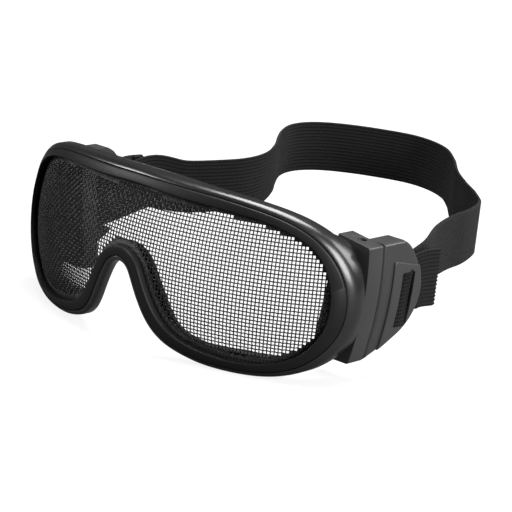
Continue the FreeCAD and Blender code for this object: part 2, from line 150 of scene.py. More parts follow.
class Finish:
    def __init__(self, name, look):
        self.look = look
        self.material = bpy.data.materials.new(name)
        self.material.use_nodes = True
        self.tree = self.material.node_tree
        self.shader = self.tree.nodes["Principled BSDF"]

    def node(self, kind, settings=None, values=None, output=0):
        made = self.tree.nodes.new(kind)
        for key, value in (settings or {}).items():
            setattr(made, key, value)
        for key, value in (values or {}).items():
            self.plug(made.inputs[key], value)
        return Signal(self, made.outputs[output])

    def plug(self, socket, value):
        if isinstance(value, Signal):
            self.tree.links.new(value.socket, socket)
        else:
            socket.default_value = value

    def surface(self, **sockets):
        for key, value in sockets.items():
            self.plug(self.shader.inputs[key.replace("_", " ")], value)
        return self.material

    def place(self):
        return self.node("ShaderNodeTexCoord", output="Object")

    def axis(self, where, index):
        return self.node("ShaderNodeSeparateXYZ", {}, {0: where}, index)

    def noise(self, name, where=None):
        scale, detail = self.look[name]
        values = {"Scale": scale, "Detail": detail, "Vector": where or self.place()}
        return self.node("ShaderNodeTexNoise", {}, values)

    def blendColours(self, share, first, second):
        values = {"Factor": share, socketPlace["firstColour"]: first, socketPlace["secondColour"]: second}
        return self.node("ShaderNodeMix", {"data_type": "RGBA"}, values, socketPlace["mixedColour"])

    def tones(self, share):
        return self.blendColours(share, grey(self.look["dark"]), grey(self.look["light"]))

    def rough(self, share):
        return self.look["rough"] + share.varied(self.look["vary"])

    def bump(self, height):
        values = {"Height": height, "Strength": self.look["bump"], "Distance": self.look["depth"]}
        return self.node("ShaderNodeBump", {}, values)


def grey(value):
    return (value, value, value, 1)


# plastics: cloudy tones, a fine grain and scuffs; a noise is given by its scale and detail
plasticLooks = {
    "shellBlack": {"dark": 0.006, "light": 0.010, "rough": 0.30, "vary": 0.10,
                   "grain": (2600, 2), "depth": 0.000012, "coat": 0.3, "gloss": 0.5},
    "bezelBlack": {"dark": 0.006, "light": 0.010, "rough": 0.45, "vary": 0.10,
                   "grain": (3200, 2), "depth": 0.000022, "coat": 0.0, "gloss": 0.2},
    "clipGrey": {"dark": 0.024, "light": 0.036, "rough": 0.33, "vary": 0.08,
                 "grain": (2200, 2), "depth": 0.000045, "coat": 0.0, "gloss": 0.4},
    "padGrey": {"dark": 0.028, "light": 0.040, "rough": 0.38, "vary": 0.08,
                "grain": (2400, 2), "depth": 0.000045, "coat": 0.0, "gloss": 0.4},
}
plasticWear = {
    "cloud": (38, 4), "scuff": (420, 6), "scuffFrom": 0.62, "scuffSharp": 6, "scuffRough": 0.12,
    "scuffHeight": 0.4, "bump": 0.6, "coatRough": 0.18,
}


def plasticFinish(name):
    look = plasticLooks[name] | plasticWear
    finish = Finish(name, look)
    cloud = finish.noise("cloud")
    grain = finish.noise("grain")
    scuff = finish.noise("scuff")
    marks = scuff.above(look["scuffFrom"], look["scuffSharp"])
    rough = finish.rough(cloud) + marks * look["scuffRough"]
    normal = finish.bump(grain + scuff * look["scuffHeight"])
    return finish.surface(Base_Color=finish.tones(cloud), Roughness=rough, Normal=normal,
                          Coat_Weight=look["coat"], Coat_Roughness=look["coatRough"],
                          Specular_IOR_Level=look["gloss"])


wireLook = {
    "dark": 0.015, "light": 0.12, "wear": 2, "speck": (900, 3), "rough": 0.27, "vary": 0.2,
    "metal": 0.7, "bump": 0.4, "depth": 0.00002,
}


def wireFinish():
    finish = Finish("coatedWire", wireLook)
    speck = finish.noise("speck")
    return finish.surface(Base_Color=finish.tones(speck ** wireLook["wear"]), Roughness=finish.rough(speck),
                          Metallic=wireLook["metal"], Normal=finish.bump(speck))


# the filled edge of the cloth, with knots between the wires and pale frayed patches at the top
borderLook = {
    "dark": 0.008, "light": 0.045, "fray": 0.16, "frayFrom": 60 * mm, "fraySharp": 120,
    "speck": (700, 3), "patches": (150, 3), "patchFrom": 0.56, "patchSharp": 7,
    "knotPower": 0.7, "knotShare": 0.8, "speckHeight": 0.15, "rough": 0.55, "vary": 0.1,
    "bump": 0.8, "depth": 0.00016,
}


def borderFinish():
    look = borderLook
    finish = Finish("borderPlastic", look)
    where = finish.node("ShaderNodeUVMap", {"uv_map": "weave"})
    turns = math.pi / weavePitch
    weft = (finish.axis(where, 0) * turns).ridges()
    warp = (finish.axis(where, 1) * turns).ridges()
    knots = (weft * warp) ** look["knotPower"]
    speck = finish.noise("speck")
    frayed = finish.noise("patches").above(look["patchFrom"], look["patchSharp"])
    upper = finish.axis(finish.place(), 2).above(look["frayFrom"], look["fraySharp"])
    light = (1 - knots) * look["knotShare"] + speck * (1 - look["knotShare"])
    colour = finish.blendColours(frayed * upper, finish.tones(light), grey(look["fray"]))
    normal = finish.bump(knots + speck * look["speckHeight"])
    return finish.surface(Base_Color=colour, Roughness=look["rough"] + speck * look["vary"], Normal=normal)


sealLook = {
    "dark": 0.010, "light": 0.024, "cloud": (60, 3), "pores": (2400, 2), "rough": 0.62, "vary": 0.2,
    "bump": 0.5, "depth": 0.00003, "sheen": 0.08, "gloss": 0.2,
}


def sealFinish():
    finish = Finish("softSeal", sealLook)
    cloud = finish.noise("cloud")
    pores = finish.noise("pores")
    return finish.surface(Base_Color=finish.tones(cloud), Roughness=finish.rough(pores),
                          Normal=finish.bump(pores), Sheen_Weight=sealLook["sheen"],
                          Specular_IOR_Level=sealLook["gloss"])


steelLook = {
    "dark": 0.02, "light": 0.05, "lines": (3000, 2), "stretch": (1, 1, 0.05), "rough": 0.4, "vary": 0.2,
    "bump": 0.3, "depth": 0.00001,
}


def steelFinish():
    finish = Finish("pinSteel", steelLook)
    values = {"Vector": finish.place(), "Scale": steelLook["stretch"]}
    stretched = finish.node("ShaderNodeMapping", {}, values)
    lines = finish.noise("lines", stretched)
    return finish.surface(Base_Color=finish.tones(lines), Roughness=finish.rough(lines),
                          Metallic=1.0, Normal=finish.bump(lines))


webLook = {
    "ribs": 15, "width": 25 * mm, "thread": 0.8 * mm,
    "dark": 0.0008, "light": 0.017, "rough": 0.9, "vary": 0.1,
    "speck": (1300, 4), "broad": (45, 3), "tufts": (1500, 6),
    "tuftHeight": 1.5, "twill": 1.3, "twillHeight": 0.2,
    "ribPower": 0.6, "ribHeight": 0.8, "threadHeight": 0.25, "speckHeight": 0.3,
    "lift": 1.1, "broadLift": 0.3, "paintedShadeLevel": 0.55, "bump": 0.9, "gloss": 0.07, "sheenRough": 0.6,
    "webPlush": {"depth": 0.0006, "sheen": 0.05}, "webRibbed": {"depth": 0.0004, "sheen": 0.02},
}


def webFinish(name):
    look = webLook | webLook[name]
    finish = Finish(name, look)
    where = finish.node("ShaderNodeUVMap", {"uv_map": "webbing"})
    along, across = finish.axis(where, 0), finish.axis(where, 1)
    turns = math.pi / look["thread"]
    speck = finish.noise("speck")
    broad = finish.noise("broad")
    if name == "webPlush":
        twill = (along * turns).wave() * (across * turns * look["twill"]).wave()
        tufts = finish.noise("tufts") * look["tuftHeight"]
        height = tufts + twill * look["twillHeight"] - look["twillHeight"]
    else:
        rib = (across * (look["ribs"] * math.pi / look["width"])).ridges() ** look["ribPower"]
        threads = (along * turns).ridges() * look["threadHeight"]
        height = rib * look["ribHeight"] + threads + speck * look["speckHeight"]
    # colour follows the height: painted shade where the webbing sinks, in the grooves between ribs and
    # threads and among the tufts, lighter on the raised tops, with random tone from the broad noise
    lift = (height * look["lift"] + broad * look["broadLift"] - look["paintedShadeLevel"]).clamped()
    normal = finish.bump(height)
    return finish.surface(Base_Color=finish.tones(lift), Roughness=finish.rough(speck),
                          Normal=normal, Sheen_Weight=look["sheen"], Sheen_Roughness=look["sheenRough"],
                          Specular_IOR_Level=look["gloss"])


finishes = {name: plasticFinish(name) for name in plasticLooks}
finishes["coatedWire"] = wireFinish()
finishes["borderPlastic"] = borderFinish()
finishes["softSeal"] = sealFinish()
finishes["pinSteel"] = steelFinish()
for webName in ("webPlush", "webRibbed"):
    finishes[webName] = webFinish(webName)
print("finishes made")

# mesh work that the pieces share
meshWork = {
    "merge": 0.002 * mm, "carriedMerge": 0.004 * mm, "flat": math.radians(2), "sharp": math.radians(42),
    "smoothUnder": {"carried": math.radians(30), "ring": math.radians(50), "clip": math.radians(32),
                    "strap": math.radians(60)},
}


def only(piece):
    bpy.ops.object.select_all(action="DESELECT")
    piece.select_set(True)
    bpy.context.view_layer.objects.active = piece


@contextmanager
def editing():
    bpy.ops.object.mode_set(mode="EDIT")
    yield
    bpy.ops.object.mode_set(mode="OBJECT")


def mergePoints(distance):
    bpy.ops.mesh.select_all(action="SELECT")
    bpy.ops.mesh.remove_doubles(threshold=distance)


def turnOutwards():
    bpy.ops.mesh.select_all(action="SELECT")
    bpy.ops.mesh.normals_make_consistent(inside=False)


def fillHoles(evenly):
    bpy.ops.mesh.select_mode(type="EDGE")
    bpy.ops.mesh.select_all(action="DESELECT")
    bpy.ops.mesh.select_non_manifold(extend=False)
    bpy.ops.mesh.fill(use_beauty=evenly)


def softEdge(piece, edge):
    # an edge is given by its width and its number of segments
    bevel = piece.modifiers.new("softEdge", "BEVEL")
    bevel.width, bevel.segments = edge
    bevel.limit_method = "ANGLE"
    bevel.angle_limit = meshWork["sharp"]
    bpy.ops.object.modifier_apply(modifier="softEdge")


def shade(kind):
    bpy.ops.object.shade_smooth_by_angle(angle=meshWork["smoothUnder"][kind])


def gridPiece(name, around, rows, placeAt):
    # a grid that closes on itself along its rows, with each point's place in millimetres
    bpy.ops.mesh.primitive_grid_add(x_subdivisions=around, y_subdivisions=rows, size=1)
    piece = bpy.context.active_object
    piece.name = name
    for vertex in piece.data.vertices:
        row, column = divmod(vertex.index, around + 1)
        vertex.co = placeAt(row, column % around) * mm + setDown
    return piece


def dress(piece, finishName, body, slot, *nodes):
    piece.data.materials.clear()
    piece.data.materials.append(finishes[finishName])
    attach(piece, body)
    if nodes:
        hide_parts(*nodes)


def carryOver(node, name, edge):
    # the solid's own mesh, with its flat faces joined and its edges rounded
    source = frame["nodes"][node]
    piece = source.copy()
    piece.data = source.data.copy()
    piece.name = name
    piece.parent = None
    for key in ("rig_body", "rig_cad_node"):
        if key in piece:
            del piece[key]
    bpy.context.scene.collection.objects.link(piece)
    only(piece)
    with editing():
        mergePoints(meshWork["carriedMerge"])
        bpy.ops.mesh.dissolve_limited(angle_limit=meshWork["flat"])
    softEdge(piece, edge)
    shade("carried")
    return piece


# lens surface, a barrel with a flatter middle
lensShape = {
    "middleRadius": 131 * mm, "endRadius": 84 * mm, "middleAngle": math.radians(26.5),
    "crownRadius": 86 * mm, "crownZ": -4 * mm,
    "rise": 1.5637 * mm, "wire": 0.27 * mm, "wireSteps": 1, "leastPoints": 3,
    "columns": 64, "rows": 24, "sink": 1.5 * mm, "fill": 2.7 * mm, "cellWall": 0.4 * mm,
}
# halves of the outlines, X and Z in millimetres on the side where X is positive
rimSide = [(0, 34.1), (20, 33.6), (38.4, 32.7), (54.8, 30.8), (69.4, 26.9), (78.2, 21.6),
           (84.6, 14.2), (88.5, 5.5), (89.7, -3.5), (88.7, -12), (85.7, -19.4),
           (81.2, -25.6), (75.8, -30.3), (69.4, -33.4), (62.3, -35.1), (54.8, -35.7), (47, -35.6)]
rimNose = [(38.9, -34.8), (30.5, -32.7), (24.2, -30.1), (19.6, -26.6), (12.8, -16.1),
           (8.2, -6.4), (5, -1.7), (0, 0.2)]
rearSide = [(0, 32.4), (20, 32), (38.4, 31.1), (54.8, 29.3), (69, 25.6), (77.2, 20.8),
            (83.2, 13.6), (87.1, 5.2), (88.2, -3.5), (87.2, -11.6), (84.4, -18.6),
            (80, -24.4), (74.8, -28.7), (68.6, -31.6), (61.8, -33.1), (54.8, -33.6), (47, -33.5)]
rearNose = [(40.6, -34.7), (33.4, -33), (27.4, -30.4), (22.8, -26.6), (15.8, -15.5),
            (10.6, -5.1), (6.8, 0.4), (0, 2.9)]
openingHalf = [(0, 30.4), (16, 29.8), (31, 29.1), (45, 28.5), (56, 27.3), (65, 25.2),
               (72.2, 22.2), (78.3, 17.6), (82.6, 10.8), (84.9, 3), (85.4, -4), (84.4, -11.4),
               (81.8, -17.8), (78.2, -23), (73, -27.2), (66.4, -30.2), (59.2, -31.8),
               (51.6, -32.2), (43.7, -31.5), (35.4, -29.7), (29, -27.3), (24.7, -24.5),
               (21.1, -20.9), (15.2, -11), (11.2, -3.2), (8.2, 1), (4.4, 3.8), (0, 4.7)]
outlineWork = {"openingSteps": 6, "matchSteps": 12, "nearby": 0.02, "spacing": 1.3, "rearPoints": 5}


def lensPoint(along, up, height=0.0):
    # the place on the cloth at these distances along and up its surface
    shape = lensShape
    angle = min(abs(along) / shape["middleRadius"], shape["middleAngle"])
    turn = angle + max(abs(along) - shape["middleRadius"] * shape["middleAngle"], 0) / shape["endRadius"]
    tilt = up / shape["crownRadius"]
    inset = shape["crownRadius"] - (shape["crownRadius"] + height) * math.cos(tilt)
    shift = shape["middleRadius"] - shape["endRadius"]
    reach = shape["endRadius"] - inset
    x = math.copysign(shift * math.sin(angle) + reach * math.sin(turn), along)
    y = shape["middleRadius"] - shift * math.cos(angle) - reach * math.cos(turn)
    z = shape["crownZ"] + (shape["crownRadius"] + height) * math.sin(tilt)
    return Vector((x, y, z)) + setDown


def lensPlace(point):
    # the same the other way round
    shape = lensShape
    x, y, z = point - setDown
    turn = math.atan2(abs(x), shape["middleRadius"] - y)
    along = shape["middleRadius"] * turn
    if turn > shape["middleAngle"]:
        shift = shape["middleRadius"] - shape["endRadius"]
        axisX = shift * math.sin(shape["middleAngle"])
        axisY = shape["middleRadius"] - shift * math.cos(shape["middleAngle"])
        beyond = math.atan2(abs(x) - axisX, axisY - y) - shape["middleAngle"]
        along = shape["middleRadius"] * shape["middleAngle"] + shape["endRadius"] * beyond
    up = shape["crownRadius"] * math.asin(max(-1, min(1, (z - shape["crownZ"]) / shape["crownRadius"])))
    return math.copysign(along, x), up


def curvePoint(a, b, c, d, t):
    # between b and c, on a smooth curve through all four
    bend = 2 * a - 5 * b + 4 * c - d
    twist = 3 * b - a - 3 * c + d
    return 0.5 * (2 * b + (c - a) * t + bend * t * t + twist * t ** 3)


def smoothLoop(points, steps):
    count = len(points)
    made = []
    for index in range(count):
        around = [points[(index + shift) % count] for shift in (-1, 0, 1, 2)]
        made += [curvePoint(*around, step / steps) for step in range(steps)]
    return made


def smoothRun(points, spacing):
    made = [points[0]]
    for index in range(len(points) - 1):
        b, c = points[index], points[index + 1]
        a = points[index - 1] if index else b * 2 - c
        d = points[index + 2] if index + 2 < len(points) else c * 2 - b
        count = max(1, math.ceil((c - b).length / spacing))
        made += [curvePoint(a, b, c, d, place / count) for place in range(1, count + 1)]
    return made


def closedHalf(half):
    points = [Vector((x, z)) for x, z in half]
    return points + [Vector((-point.x, point.y)) for point in points[-2:0:-1]]


def openingLoop(inset):
    loop = smoothLoop([point * mm for point in closedHalf(openingHalf)], outlineWork["openingSteps"])
    moved = []
    for index, point in enumerate(loop):
        along = (loop[(index + 1) % len(loop)] - loop[index - 1]).normalized()
        moved.append(point + Vector((along.y, -along.x)) * inset)
    return moved


def chordPlaces(points):
    lengths = [(points[index] - points[index - 1]).length for index in range(1, len(points))]
    lengths.append((points[0] - points[-1]).length)
    return [0.0] + list(numpy.cumsum(lengths))


def roundSpline(points, places):
    # second derivatives of a closed cubic that is smooth at every point
    count = len(points)
    steps = [places[index + 1] - places[index] for index in range(count)]
    rows = numpy.zeros((count, count))
    turns = numpy.zeros((count, len(points[0])))
    for index in range(count):
        before, after = steps[index - 1], steps[index]
        rows[index, index - 1] += before
        rows[index, index] += 2 * (before + after)
        rows[index, (index + 1) % count] += after
        here, last, ahead = points[index], points[index - 1], points[(index + 1) % count]
        turns[index] = 6 * ((ahead - here) / after - (here - last) / before)
    return steps, numpy.linalg.solve(rows, turns)


def splinePoint(points, spline, index, share):
    steps, bends = spline
    here, ahead = points[index], points[(index + 1) % len(points)]
    bendHere, bendAhead = (type(here)(bends[place % len(points)]) for place in (index, index + 1))
    back = 1 - share
    lift = (bendHere * (back ** 3 - back) + bendAhead * (share ** 3 - share)) * steps[index] ** 2 / 6
    return here * back + ahead * share + lift


def grownLoop(points, grow):
    nearby = outlineWork["nearby"]
    spline = roundSpline(points, chordPlaces(points))
    moved = []
    for index, point in enumerate(points):
        after = splinePoint(points, spline, index, nearby)
        before = splinePoint(points, spline, index - 1, 1 - nearby)
        along = (after - before).normalized()
        moved.append(point + Vector((-along.y, along.x)) * grow)
    return moved


def depthOnLens(x, z, height):
    shape = lensShape
    turn = shape["middleAngle"]
    middle, end, crown = (shape[key] / mm for key in ("middleRadius", "endRadius", "crownRadius"))
    inset = crown - math.sqrt((crown + height) ** 2 - (z - shape["crownZ"] / mm) ** 2)
    if abs(x) < (middle - inset) * math.sin(turn):
        return middle - math.sqrt((middle - inset) ** 2 - x ** 2)
    shift = middle - end
    across = abs(x) - shift * math.sin(turn)
    return middle - shift * math.cos(turn) - math.sqrt((end - inset) ** 2 - across ** 2)


def onLens(loop, height):
    return [Vector((point.x, depthOnLens(point.x, point.y, height), point.y)) for point in loop]


rimLoop = closedHalf(rimSide + rimNose)
rimPlaces = chordPlaces(rimLoop)
# the wall follows the rear edge at the brow and the nose, and the rim in between
wallLoop = closedHalf(rearSide[:outlineWork["rearPoints"]] + rimSide[outlineWork["rearPoints"]:] + rearNose)


@lru_cache(maxsize=None)
def grownWall(grow):
    return grownLoop(wallLoop, grow)


def openingRing(grow):
    # the opening's outline at as many places as the rim has
    steps = outlineWork["matchSteps"]
    points = grownLoop(closedHalf(openingHalf), grow)
    spline = roundSpline(points, chordPlaces(points))
    dense = [splinePoint(points, spline, index, step / steps)
             for index in range(len(points)) for step in range(steps)]
    matched = [min(dense, key=lambda point: (point - target).length) for target in rimLoop]
    for middle in (0, len(rimSide + rimNose) - 1):
        matched[middle].x = 0
    return matched


def ringPiece(name, loops, edge):
    # a closed ring through section loops that share the rim's places
    counts = []
    for index in range(len(rimLoop)):
        counts.append(max(2, math.ceil((rimPlaces[index + 1] - rimPlaces[index]) / outlineWork["spacing"])))
    rows = []
    for loop in loops:
        spline = roundSpline(loop, rimPlaces)
        rows.append([splinePoint(loop, spline, index, step / count)
                     for index, count in enumerate(counts) for step in range(count)])
    around = len(rows[0])
    piece = gridPiece(name, around, len(rows), lambda row, column: rows[row % len(rows)][column])
    with editing():
        mergePoints(meshWork["merge"])
        turnOutwards()
    softEdge(piece, edge)
    shade("ring")
    print(name, around, "by", len(rows), "faces", len(piece.data.polygons))
    return piece


def insideLoop(loop, x, z):
    inside = False
    for index, point in enumerate(loop):
        other = loop[index - 1]
        if (point.y > z) != (other.y > z):
            if x < point.x + (z - point.y) / (other.y - point.y) * (other.x - point.x):
                inside = not inside
    return inside


def polyLine(curve, points, leans=None):
    spline = curve.splines.new("POLY")
    spline.points.add(len(points) - 1)
    for index, place in enumerate(points):
        spline.points[index].co = (*place, 1)
        if leans:
            spline.points[index].tilt = leans[index]


def weaveWires(name, upright):
    # tubes that pass over and under, with a point at each crossing and one between
    shape = lensShape
    loop = openingLoop(shape["sink"])
    curve = bpy.data.curves.new(name, "CURVE")
    curve.dimensions = "3D"
    curve.bevel_depth = shape["wire"]
    curve.bevel_resolution = shape["wireSteps"]
    curve.use_fill_caps = True
    lines, crossings = shape["columns"], shape["rows"]
    if not upright:
        lines, crossings = crossings, lines
    for line in range(-lines, lines + 1):
        runs = [[]]
        for half in range(-crossings * 2, crossings * 2 + 1):
            column, row = (line, half / 2) if upright else (half / 2, line)
            swing = 0.0
            if half % 2 == 0:
                swing = shape["wire"] * (1 if (line + half // 2) % 2 else -1) * (1 if upright else -1)
            place = lensPoint(column * weavePitch, row * shape["rise"], swing)
            flat = place - setDown
            if insideLoop(loop, flat.x, flat.z):
                runs[-1].append(place)
            else:
                runs.append([])
        for run in runs:
            if len(run) >= shape["leastPoints"]:
                polyLine(curve, run)
    wires = addObject(name, curve)
    only(wires)
    bpy.ops.object.convert(target="MESH")
    bpy.ops.object.shade_smooth()
    print(name, len(wires.data.polygons), "faces")
    return wires


dress(weaveWires("meshWarpWires", True), "coatedWire", "goggles", "coated_wire", "mesh_lens")
dress(weaveWires("meshWeftWires", False), "coatedWire", "goggles", "coated_wire")


def filledCells():
    # whole cells of the cloth along the opening's edge
    shape = lensShape
    outer, inner = openingLoop(shape["sink"]), openingLoop(shape["fill"])
    columns, rows = shape["columns"] * 2, shape["rows"] * 2
    bpy.ops.mesh.primitive_grid_add(x_subdivisions=columns, y_subdivisions=rows, size=2)
    cells = bpy.context.active_object
    cells.name = "borderCells"
    for vertex in cells.data.vertices:
        along = vertex.co.x * shape["columns"] * weavePitch
        vertex.co = lensPoint(along, vertex.co.y * shape["rows"] * shape["rise"])
    with editing():
        bpy.ops.mesh.select_all(action="DESELECT")
        bpy.ops.mesh.select_mode(type="FACE")
    for face in cells.data.polygons:
        middle = face.center - setDown
        filled = insideLoop(outer, middle.x, middle.z) and not insideLoop(inner, middle.x, middle.z)
        face.select = not filled
    with editing():
        bpy.ops.mesh.delete(type="FACE")
    wall = cells.modifiers.new("wall", "SOLIDIFY")
    wall.thickness = shape["cellWall"]
    wall.offset = 0
    bpy.ops.object.modifier_apply(modifier="wall")
    return cells


def weaveMap(piece):
    layer = piece.data.uv_layers.new(name="weave")
    for loop in piece.data.loops:
        layer.data[loop.index].uv = lensPlace(piece.data.vertices[loop.vertex_index].co)
    return piece


borderShape = {"half": 0.4, "lip": 1.4, "show": 2.0, "edge": (0.15 * mm, 1)}


def borderRing():
    shape = borderShape
    half = shape["half"]
    outer, inner = openingRing(shape["lip"]), openingRing(-shape["show"])
    loops = [onLens(outer, half), onLens(outer, -half), onLens(inner, -half), onLens(inner, half)]
    return ringPiece("meshBorder", loops, shape["edge"])


dress(weaveMap(borderRing()), "borderPlastic", "goggles", "border_plastic", "mesh_border")
dress(weaveMap(filledCells()), "borderPlastic", "goggles", "border_plastic")
print("wire cloth made")

# frame and bezel; heights stand on the lens surface
shellShape = {
    "stand": 3.8, "plate": 1.8, "groove": 0.3, "sheet": 0.5, "ledge": 1.6,
    "shoulder": 2.0, "shoulderDepth": 5.4, "shoulderRound": 1.7, "roundSteps": 6,
    "wallOut": 0.6, "wall": 2.0, "rearRadius": 230, "rearDepth": 20,
    "noseShares": [0.76, 0.62, 0.52, 0.44, 0.34, 0.28, 0.26, 0.26], "flange": 1.6, "flangeEnd": 0.9,
    "flangeThick": 1.1, "templeStart": 70, "templeEnd": 82, "blockFront": 45.1, "wallLeast": 1.9,
    "edge": (0.3 * mm, 2), "bezelEdge": (0.45 * mm, 3),
}


def templeShare(x):
    share = (abs(x) - shellShape["templeStart"]) / (shellShape["templeEnd"] - shellShape["templeStart"])
    share = min(max(share, 0), 1)
    return share * share * (3 - 2 * share)


def atRear(loop, forward):
    shape = shellShape
    half = [1] * len(rimSide) + shape["noseShares"]
    made = []
    for point, share in zip(loop, half + half[-2:0:-1]):
        depth = shape["rearDepth"] + shape["rearRadius"] - math.sqrt(shape["rearRadius"] ** 2 - point.x ** 2)
        depth += (shape["blockFront"] - depth) * templeShare(point.x)
        made.append(Vector((point.x, depth * share - forward, point.y)))
    return made


def frameShell():
    shape = shellShape
    top = shape["stand"] - shape["groove"]
    low = shape["stand"] - shape["shoulderDepth"]
    loops = [onLens(grownLoop(rimLoop, 0), top)]
    for step in range(shape["roundSteps"] + 1):
        turn = math.pi / 2 * step / shape["roundSteps"]
        out = shape["shoulder"] - shape["shoulderRound"] * (1 - math.sin(turn))
        loops.append(onLens(grownLoop(rimLoop, out), top - shape["shoulderRound"] * (1 - math.cos(turn))))
    loops.append(onLens(grownLoop(rimLoop, shape["shoulder"]), low))
    loops.append(onLens(grownLoop(rimLoop, shape["wallOut"]), low))
    limit = shape["blockFront"] - shape["wallLeast"]
    for loop in loops:
        for point in loop:
            point.y = min(point.y, limit)
    backLoop = closedHalf(rearSide + rearNose)
    inside = shape["wallOut"] - shape["wall"]
    lip = []
    for point, wall in zip(grownLoop(backLoop, shape["flange"]), grownLoop(backLoop, shape["flangeEnd"])):
        lip.append(point + (wall - point) * templeShare(point.x))
    loops.append(atRear(grownWall(shape["wallOut"]), shape["flangeThick"]))
    loops.append(atRear(lip, shape["flangeThick"]))
    loops.append(atRear(lip, 0))
    loops.append(atRear(grownWall(inside), 0))
    seat = -shape["sheet"] - shape["ledge"]
    loops.append(onLens(grownLoop(rimLoop, inside), seat))
    loops.append(onLens(openingRing(0), seat))
    loops.append(onLens(openingRing(0), -shape["sheet"]))
    loops.append(onLens(grownLoop(rimLoop, 0), -shape["sheet"]))
    return ringPiece("frameShell", loops, shape["edge"])


def bezelRim():
    shape = shellShape
    edge, step, inner = grownLoop(rimLoop, -shape["groove"]), openingRing(borderShape["lip"]), openingRing(0)
    top, middle, low = shape["stand"], shape["stand"] - shape["plate"], shape["sheet"]
    section = [(edge, top), (edge, middle), (step, middle), (step, low), (inner, low), (inner, top)]
    loops = [onLens(loop, height) for loop, height in section]
    return ringPiece("bezelRim", loops, shape["bezelEdge"])


dress(frameShell(), "shellBlack", "goggles", "frame_plastic", "main_frame")
dress(bezelRim(), "bezelBlack", "goggles", "bezel_plastic", "front_bezel")

# strap clips, drawn in Y and Z from the lens surface's origin
clipCurve = [(69.2, 20.2), (72.9, 18.2), (76.3, 14.6), (79.6, 9.2), (81.6, 3.3), (82.4, -2.6),
             (81.2, -9.6), (78.4, -15), (74.4, -19.3), (69.2, -22.6), (63.2, -26.1), (55.5, -29.6)]
clipShape = {
    "front": 55.5, "inside": 80.0, "round": 1.3, "roundSteps": 5, "rings": 7,
    "curveSpacing": 1.0, "spacing": 1.2,
    "crown": 136.0, "crownX": 90.0, "crownZ": 6.0, "overrun": 1, "beyond": 95, "leastLean": 0.5,
    "pocket": [(60.5, -18), (60.5, 8.6), (68, 8.8), (92, 14.6), (92, -18)], "pocketOut": 87.8,
    "window": (68.0, 76.2, -16.9, 6.9), "windowRound": 0.8, "windowSteps": 3,
    "bar": (83.3, 85.5, 65.2, 69.4, -19.3, 9.9), "pinX": 81.0, "pinY": 51.0,
    "knuckle": 3.4, "knuckleZ": (-17.6, 11.6), "knuckleSides": 40, "web": (79.3, 82.7),
    "padRaise": 0.8, "padRound": 0.45, "padSink": 0.5, "padInset": 0.5, "padFront": 62.3, "padTop": 12.4,
    "padTopBack": 9.7, "padCorner": [(0, -1.2), (0.35, -0.35), (1.2, -0.15)], "padFoot": 0.3,
    "blockEdge": (1.1 * mm, 4), "pinEdge": (0.3 * mm, 2),
}


def crownX(z, raiseBy):
    shape = clipShape
    radius = shape["crown"] + raiseBy
    return shape["crownX"] - shape["crown"] + math.sqrt(radius ** 2 - (z - shape["crownZ"]) ** 2)


def insetLoop(points, inset):
    moved = []
    for index, point in enumerate(points):
        before = (point - points[index - 1]).normalized()
        after = (points[(index + 1) % len(points)] - point).normalized()
        inward = Vector((before.y + after.y, -before.x - after.x)).normalized()
        lean = max(clipShape["leastLean"], inward.dot(Vector((before.y, -before.x))))
        moved.append(point + inward * inset / lean)
    return moved


def evenRun(start, end):
    # points from start up to end, without end itself
    count = max(1, round((end - start).length / clipShape["spacing"]))
    return [start + (end - start) * place / count for place in range(count)]


def faceOutwards(piece):
    only(piece)
    with editing():
        turnOutwards()
    volume = 0
    for face in piece.data.polygons:
        corners = [piece.data.vertices[index].co - setDown for index in face.vertices]
        for second, third in zip(corners[1:], corners[2:]):
            volume += corners[0].dot(second.cross(third))
    if volume < 0:
        piece.data.flip_normals()
    return piece


def domedPiece(name, side, outline, bottom, raiseBy, roundEdge):
    # a closed outline in Y and Z, carried out to the crowned side face with a round edge
    shape = clipShape
    middle = sum(outline, Vector((0, 0))) / len(outline)
    layers = [[(bottom(point.y), point) for point in outline]]
    for step in range(shape["roundSteps"] + 1):
        turn = math.pi / 2 * step / shape["roundSteps"]
        loop = insetLoop(outline, roundEdge * (1 - math.cos(turn)))
        drop = roundEdge * (1 - math.sin(turn))
        layers.append([(crownX(point.y, raiseBy) - drop, point) for point in loop])
    flat = insetLoop(outline, roundEdge)
    for ring in range(1, shape["rings"] + 1):
        places = [point.lerp(middle, ring / shape["rings"]) for point in flat]
        layers.append([(crownX(place.y, raiseBy), place) for place in places])

    def placeAt(row, column):
        x, point = layers[row][column]
        return Vector((side * x, point.x, point.y))

    piece = gridPiece(name, len(outline), len(layers) - 1, placeAt)
    with editing():
        mergePoints(meshWork["merge"])
        fillHoles(True)
    return faceOutwards(piece)


def prism(side, points, low, high):
    count = len(points)
    bpy.ops.mesh.primitive_cylinder_add(vertices=count, radius=1, depth=2)
    tool = bpy.context.active_object
    for vertex in tool.data.vertices:
        place = Vector(points[(vertex.index // 2) % count])
        x = high if vertex.index % 2 else low
        vertex.co = Vector((side * x, place.x, place.y)) * mm + setDown
    return faceOutwards(tool)


def rectangle(front, back, bottom, top):
    return [(front, bottom), (back, bottom), (back, top), (front, top)]


def carve(piece, tool, operation="DIFFERENCE"):
    only(piece)
    cut = piece.modifiers.new("carve", "BOOLEAN")
    cut.operation = operation
    cut.solver = "EXACT"
    cut.object = tool
    bpy.ops.object.modifier_apply(modifier="carve")
    bpy.data.objects.remove(tool)


def carveWindow(piece, side):
    front, back, low, high = clipShape["window"]
    radius, steps = clipShape["windowRound"], clipShape["windowSteps"]
    points = []
    for cornerY, cornerZ, start in ((back, high, 0), (front, high, 90), (front, low, 180), (back, low, 270)):
        y = cornerY - radius if cornerY == back else cornerY + radius
        z = cornerZ - radius if cornerZ == high else cornerZ + radius
        for step in range(steps + 1):
            turn = math.radians(start + 90 * step / steps)
            points.append((y + radius * math.cos(turn), z + radius * math.sin(turn)))
    carve(piece, prism(side, points, clipShape["pocketOut"] - clipShape["overrun"], clipShape["beyond"]))


